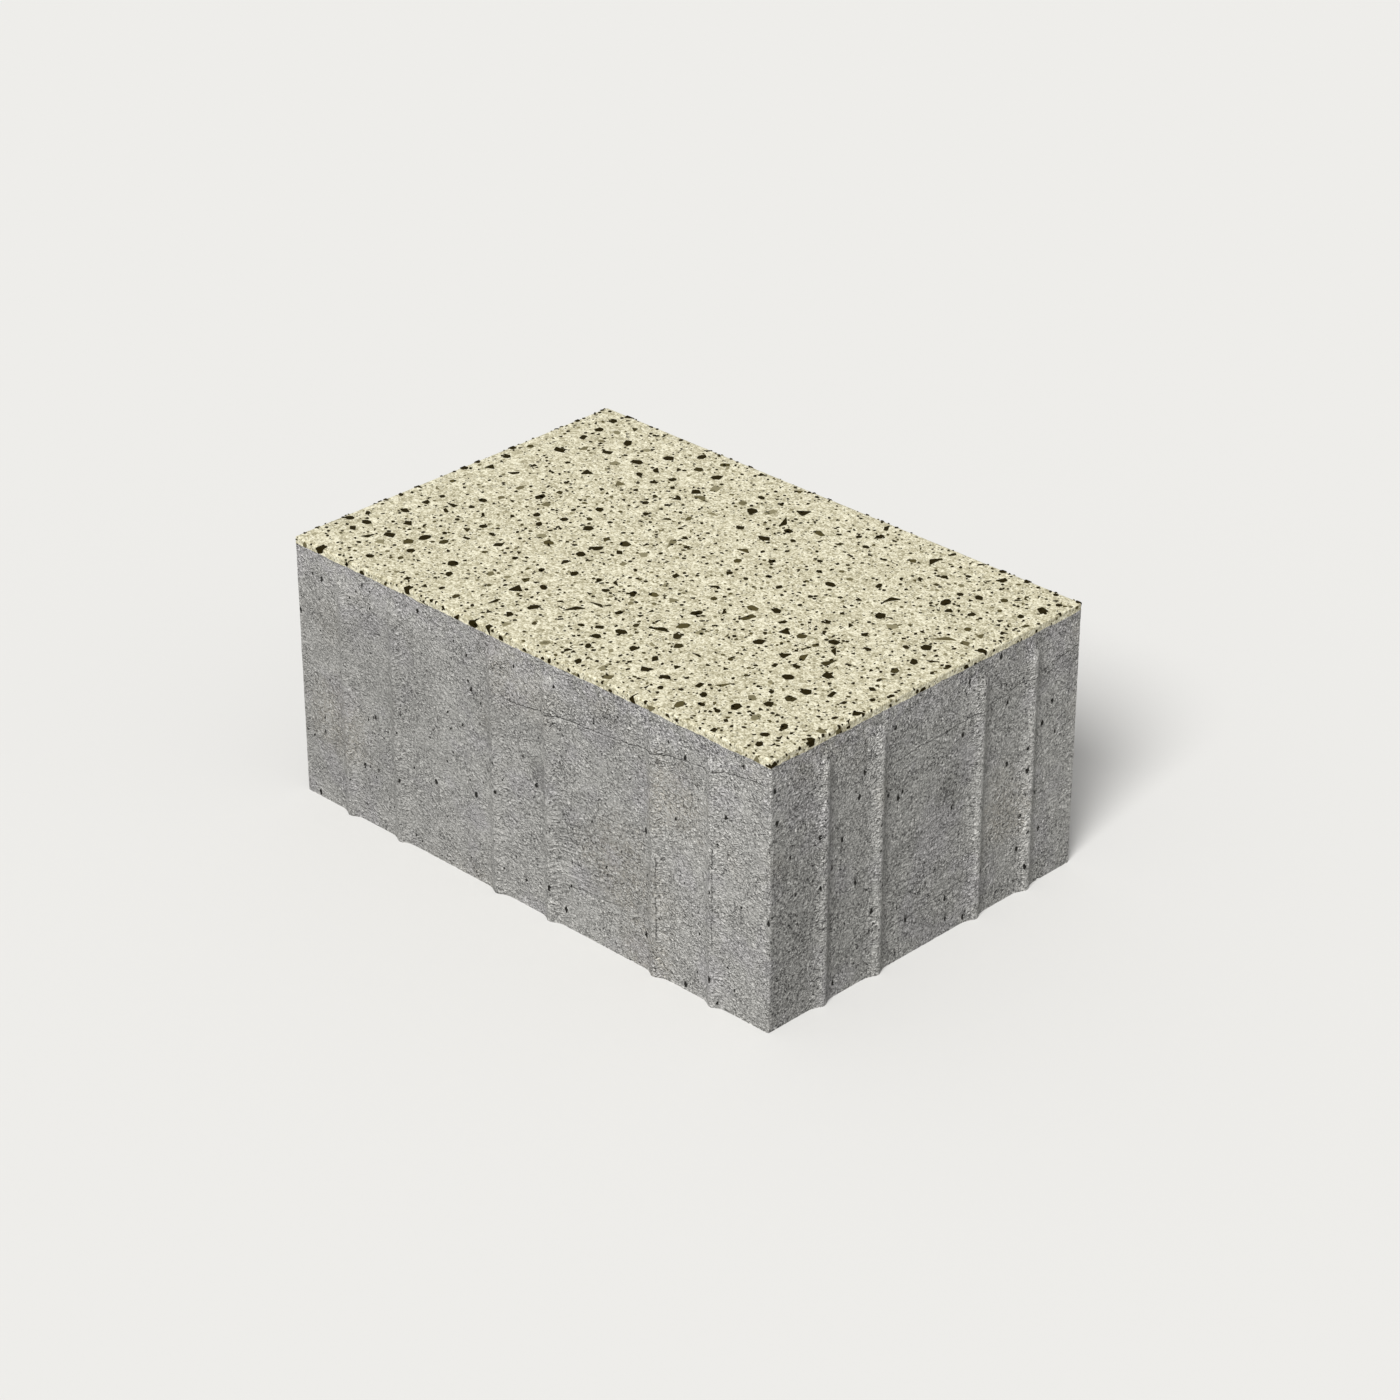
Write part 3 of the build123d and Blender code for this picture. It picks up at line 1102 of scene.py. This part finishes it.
def chip_shapes():
    """Angular chips, each about one unit across: a flat many-cornered top on a narrowing foot."""
    draw = np.random.default_rng(CHIP_SEED)
    shapes = bpy.data.collections.new("chip_shapes")
    for number in range(CHIP_SHAPES):
        corners = int(draw.choice(CHIP_CORNERS))
        spare = 2 * math.pi - corners * CHIP_LEAST_ARC
        gaps = CHIP_LEAST_ARC + draw.dirichlet(np.full(corners, CHIP_EVENNESS)) * spare
        angles = np.cumsum(gaps)
        sharp = np.column_stack([np.cos(angles), np.sin(angles), np.zeros(corners)])
        before, after = np.roll(sharp, 1, axis=0), np.roll(sharp, -1, axis=0)
        cuts = [sharp + CHIP_BLUNTING * (near - sharp) for near in (before, after)]
        top = np.stack(cuts, axis=1).reshape(-1, 3)
        nearby = np.roll(top, -1, axis=0)
        area = 0.5 * abs(np.sum(top[:, 0] * nearby[:, 1] - nearby[:, 0] * top[:, 1]))
        top *= math.sqrt(math.pi / 4 / area)
        count = len(top)
        narrowing = np.repeat(draw.uniform(CHIP_FOOT, 1.0, (corners, 1)), 2, axis=0)
        foot = top * narrowing - [0.0, 0.0, CHIP_DEPTH]
        faces = [list(range(count)), list(range(2 * count - 1, count - 1, -1))]
        for i in range(count):
            j = (i + 1) % count
            faces.append([i, count + i, count + j, j])
        mesh = bpy.data.meshes.new(f"chip_{number}")
        mesh.from_pydata(np.vstack([top, foot]).tolist(), [], faces)
        shapes.objects.link(bpy.data.objects.new(mesh.name, mesh))
    return shapes


# How far the chips lie under the block's faces, and how far they stay above the seam
CHIP_RECESS = 0.02 * MM
CHIP_SEAM_GAP = 4 * CHIP_RECESS
# Places across the width where the coarse chips lie thickest
CHIP_STRIPS = (25.0 * MM, -23.0 * MM)
CHIP_STRIP_REACH = 24.0 * MM
# Power on the draw of a size, below 1 for more large chips, and the range by which chips are drawn out
CHIP_SIZE_BIAS = 0.85
CHIP_SQUEEZE = (0.82, 1.28)
# Size of the patches where chips lie thinner, and the ramp to the share that is left there
DRIFT_SIZE = 30.0 * MM
DRIFT_RANGE = (0.35, 0.62, 0.8, 1.0)
# What a scatter is told, and what is drawn by chance for each chip
CHIP_SIZES = ("Smallest", "Largest", "Density", "Apart", "Least")
CHIP_DRAWS = ("size", "squeeze", "spin", "shape", "tone")


def chip_tree():
    """Scatters chips over the top and the band round it, cut off flush with the block's faces."""
    inputs = {"Shapes": "NodeSocketCollection"}
    inputs |= {label: "NodeSocketFloat" for label in CHIP_SIZES}
    inputs |= {"Seed": "NodeSocketInt", "Material": "NodeSocketMaterial"}
    tree, graph, given, identifiers = new_tree("Exposed chips", inputs)

    size = (LENGTH - 2 * CHIP_RECESS, WIDTH - 2 * CHIP_RECESS, HEIGHT - SEAM - CHIP_RECESS)
    slab = graph.node("GeometryNodeMeshCube", {"Size": size}).outputs["Mesh"]
    middle = (0.0, 0.0, SEAM + size[2] / 2)
    slab = graph.node("GeometryNodeTransform", {"Geometry": slab, "Translation": middle}).outputs[0]
    upward = graph.axes(graph.node("GeometryNodeInputNormal").outputs[0])[2]
    underside = graph.math("LESS_THAN", upward, -0.5)
    slab = graph.node("GeometryNodeDeleteGeometry", {0: slab, 1: underside}, domain="FACE").outputs[0]

    place = graph.node("GeometryNodeInputPosition").outputs[0]
    drift = graph.ramp(graph.noise(place, DRIFT_SIZE, 1.0), *DRIFT_RANGE)
    strips = 0.0
    for centre in CHIP_STRIPS:
        off = graph.math("ABSOLUTE", graph.minus(graph.axes(place)[1], centre))
        strip = graph.ramp(off, CHIP_STRIP_REACH, CHIP_STRIP_REACH / 2, given["Least"], 1.0)
        strips = graph.larger(strips, strip)
    crowding = graph.times(drift, strips)
    spots = graph.node(
        "GeometryNodeDistributePointsOnFaces",
        {
            "Mesh": slab,
            "Distance Min": given["Apart"],
            "Density Max": given["Density"],
            "Density Factor": crowding,
            "Seed": given["Seed"],
        },
        distribute_method="POISSON",
    )

    def draw(what, low, high, kind="FLOAT"):
        """A random value for each chip, from low to high."""
        seed = graph.math("ADD", given["Seed"], 1.0 + CHIP_DRAWS.index(what))
        first, result = {"FLOAT": (2, 1), "INT": (4, 2)}[kind]
        inputs = {first: low, first + 1: high, "Seed": seed}
        return graph.node("FunctionNodeRandomValue", inputs, data_type=kind).outputs[result]

    luck = graph.math("POWER", draw("size", 0.0, 1.0), CHIP_SIZE_BIAS)
    growth = graph.math("POWER", graph.math("DIVIDE", given["Largest"], given["Smallest"]), luck)
    across = graph.times(given["Smallest"], growth)
    squeeze = draw("squeeze", *CHIP_SQUEEZE)
    longer, shorter = graph.times(across, squeeze), graph.math("DIVIDE", across, squeeze)
    scale = graph.node("ShaderNodeCombineXYZ", {0: longer, 1: shorter, 2: across}).outputs[0]
    angle = draw("spin", 0.0, 2 * math.pi)
    spin = graph.node("FunctionNodeAxisAngleToRotation", {"Angle": angle}).outputs[0]
    turned = graph.node(
        "FunctionNodeRotateRotation", {0: spots.outputs["Rotation"], 1: spin}, rotation_space="LOCAL"
    ).outputs[0]
    shapes = graph.node(
        "GeometryNodeCollectionInfo",
        {"Collection": given["Shapes"], "Separate Children": True, "Reset Children": True},
    ).outputs[0]
    chips = graph.node(
        "GeometryNodeInstanceOnPoints",
        {
            "Points": spots.outputs["Points"],
            "Instance": shapes,
            "Pick Instance": True,
            "Instance Index": draw("shape", 0, CHIP_SHAPES - 1, "INT"),
            "Rotation": turned,
            "Scale": scale,
        },
    ).outputs[0]
    toned = graph.node(
        "GeometryNodeStoreNamedAttribute",
        {"Geometry": chips, "Name": "tone", "Value": draw("tone", 0.0, 1.0)},
        data_type="FLOAT",
        domain="INSTANCE",
    ).outputs[0]
    real = graph.node("GeometryNodeRealizeInstances", {"Geometry": toned}).outputs[0]
    most = (LENGTH / 2 - CHIP_RECESS, WIDTH / 2 - CHIP_RECESS, HEIGHT - CHIP_RECESS)
    least = (-most[0], -most[1], SEAM + CHIP_SEAM_GAP)
    cut = graph.vector("MAXIMUM", graph.vector("MINIMUM", place, most), least)
    flush = graph.node("GeometryNodeSetPosition", {"Geometry": real, "Position": cut}).outputs[0]
    end_tree(graph, flush, given["Material"])
    return tree, identifiers


def scatter_chips(name, tree, identifiers, values):
    """One piece that holds all the chips of a size."""
    piece = bpy.data.objects.new(name, bpy.data.meshes.new(name))
    bpy.context.scene.collection.objects.link(piece)
    bake_tree(piece, tree, identifiers, values)
    return piece


# Stage, in metres
FLOOR_HALF = 9.0


def shown_share(graph):
    """1 for rays that show the stage itself, 0 for rays that only carry its light."""
    path = graph.node("ShaderNodeLightPath").outputs
    seen_in = graph.larger(path["Is Glossy Ray"], path["Is Transmission Ray"])
    return graph.larger(path["Is Camera Ray"], seen_in)


def pale_floor(look):
    """Pale matt floor, which throws less light back than it shows."""
    material = bpy.data.materials.new("pale_floor")
    material.use_nodes = True
    nodes = material.node_tree.nodes
    nodes.remove(nodes["Principled BSDF"])
    graph = Graph(material.node_tree)
    colour = graph.mix(shown_share(graph), look.bounce, look.floor)
    matt = graph.node("ShaderNodeBsdfDiffuse", {"Color": colour})
    graph.put(nodes["Material Output"].inputs["Surface"], matt.outputs[0])
    return material


def studio_world(look):
    """Even pale light from all round."""
    world = bpy.data.worlds.new("studio")
    world.use_nodes = True
    graph = Graph(world.node_tree)
    backdrop = world.node_tree.nodes["Background"]
    lit = (look.sky, look.sky, look.sky)
    graph.put(backdrop.inputs["Color"], graph.mix(shown_share(graph), lit, look.floor))
    bpy.context.scene.world = world


KEY_DIRECTION = Vector((0.30, -0.66, 0.69))
SENSOR_WIDTH = 36.0
VIEW_RANGE = (0.05, 50.0)


def add_key_light(look):
    """A wide and distant main light, so that the floor is lit as evenly as the block."""
    lamp = bpy.data.lights.new("key", "SUN")
    lamp.energy = look.key_strength
    lamp.angle = look.key_softness
    holder = bpy.data.objects.new("key", lamp)
    holder.location = KEY_DIRECTION
    holder.rotation_euler = (-KEY_DIRECTION).to_track_quat("-Z", "Y").to_euler()
    bpy.context.scene.collection.objects.link(holder)


def add_camera(look):
    """A camera at the angle and distance from which the block was seen."""
    back = Vector((
        math.sin(look.azimuth) * math.cos(look.elevation),
        -math.cos(look.azimuth) * math.cos(look.elevation),
        math.sin(look.elevation),
    ))
    right = Vector((math.cos(look.azimuth), math.sin(look.azimuth), 0.0))
    up = back.cross(right)
    camera = bpy.data.cameras.new("camera")
    camera.sensor_width = SENSOR_WIDTH
    camera.lens = look.lens
    camera.clip_start, camera.clip_end = VIEW_RANGE
    holder = bpy.data.objects.new("camera", camera)
    holder.location = back * look.distance + right * look.slide + up * look.lift
    holder.rotation_euler = (-back).to_track_quat("-Z", "Y").to_euler()
    bpy.context.scene.collection.objects.link(holder)
    bpy.context.scene.camera = holder


# Operators
class PAVER_OT_studio(Operator):
    """Set up the floor, the light and the camera"""

    bl_idname = "paver.studio"
    bl_label = "Studio"

    def execute(self, context):
        look = context.scene.paver_studio
        mesh = bpy.data.meshes.new("floor")
        corners = [(x * FLOOR_HALF, y * FLOOR_HALF, 0) for x, y in ((-1, -1), (1, -1), (1, 1), (-1, 1))]
        mesh.from_pydata(corners, [], [(0, 1, 2, 3)])
        floor = bpy.data.objects.new("floor", mesh)
        mesh.materials.append(pale_floor(look))
        context.scene.collection.objects.link(floor)
        studio_world(look)
        add_key_light(look)
        add_camera(look)
        context.scene.view_settings.view_transform = "Standard"
        return {"FINISHED"}


class PAVER_OT_grey_body(Operator):
    """Build the grey ribbed body"""

    bl_idname = "paver.grey_body"
    bl_label = "Grey body"

    def execute(self, context):
        look = context.scene.paver_grey
        body = body_mesh(context.scene.paver_shape)
        press_relief(body, look, grey_concrete(look))
        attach(body, BODY)
        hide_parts(BACKING_NODE)
        return {"FINISHED"}


class PAVER_OT_cream_facing(Operator):
    """Build the cream facing layer"""

    bl_idname = "paver.cream_facing"
    bl_label = "Cream facing"

    def execute(self, context):
        look = context.scene.paver_cream
        facing = facing_mesh(context.scene.paver_shape)
        press_relief(facing, look, cream_facing(look))
        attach(facing, BODY)
        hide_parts(FACING_NODE)
        return {"FINISHED"}


class PAVER_OT_dark_chips(Operator):
    """Scatter the coarse and the fine dark chips through the facing"""

    bl_idname = "paver.dark_chips"
    bl_label = "Dark chips"

    def execute(self, context):
        look = context.scene.paver_chips
        shapes = chip_shapes()
        tree, identifiers = chip_tree()
        material = dark_chip(look)
        for size in ("coarse", "fine"):
            values = {label: getattr(look, f"{size}_{label.lower()}") for label in (*CHIP_SIZES, "Seed")}
            values |= {"Shapes": shapes, "Material": material}
            chips = scatter_chips(f"{size}_chips", tree, identifiers, values)
            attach(chips, BODY)
        for shape in list(shapes.objects):
            bpy.data.meshes.remove(shape.data)
        bpy.data.collections.remove(shapes)
        return {"FINISHED"}


class PAVER_PT_sidebar(Panel):
    """Lists the steps that dress the paver"""

    bl_label = "Concrete paver"
    bl_idname = "PAVER_PT_sidebar"
    bl_space_type = "VIEW_3D"
    bl_region_type = "UI"
    bl_category = "Paver"

    def draw(self, context):
        for operator in OPERATORS:
            self.layout.operator(operator.bl_idname)


GROUPS = {
    "paver_shape": PaverShape,
    "paver_grey": GreyFinish,
    "paver_cream": CreamFinish,
    "paver_chips": ChipLook,
    "paver_studio": StudioLook,
}
OPERATORS = (PAVER_OT_studio, PAVER_OT_grey_body, PAVER_OT_cream_facing, PAVER_OT_dark_chips)


def register():
    for name, group in GROUPS.items():
        bpy.utils.register_class(group)
        setattr(bpy.types.Scene, name, PointerProperty(type=group))
    for operator in OPERATORS:
        bpy.utils.register_class(operator)
    bpy.utils.register_class(PAVER_PT_sidebar)


def unregister():
    bpy.utils.unregister_class(PAVER_PT_sidebar)
    for operator in reversed(OPERATORS):
        bpy.utils.unregister_class(operator)
    for name, group in reversed(GROUPS.items()):
        delattr(bpy.types.Scene, name)
        bpy.utils.unregister_class(group)


def main():
    register()
    bpy.ops.paver.studio()
    bpy.ops.paver.grey_body()
    bpy.ops.paver.cream_facing()
    bpy.ops.paver.dark_chips()


if __name__ == "__main__":
    main()
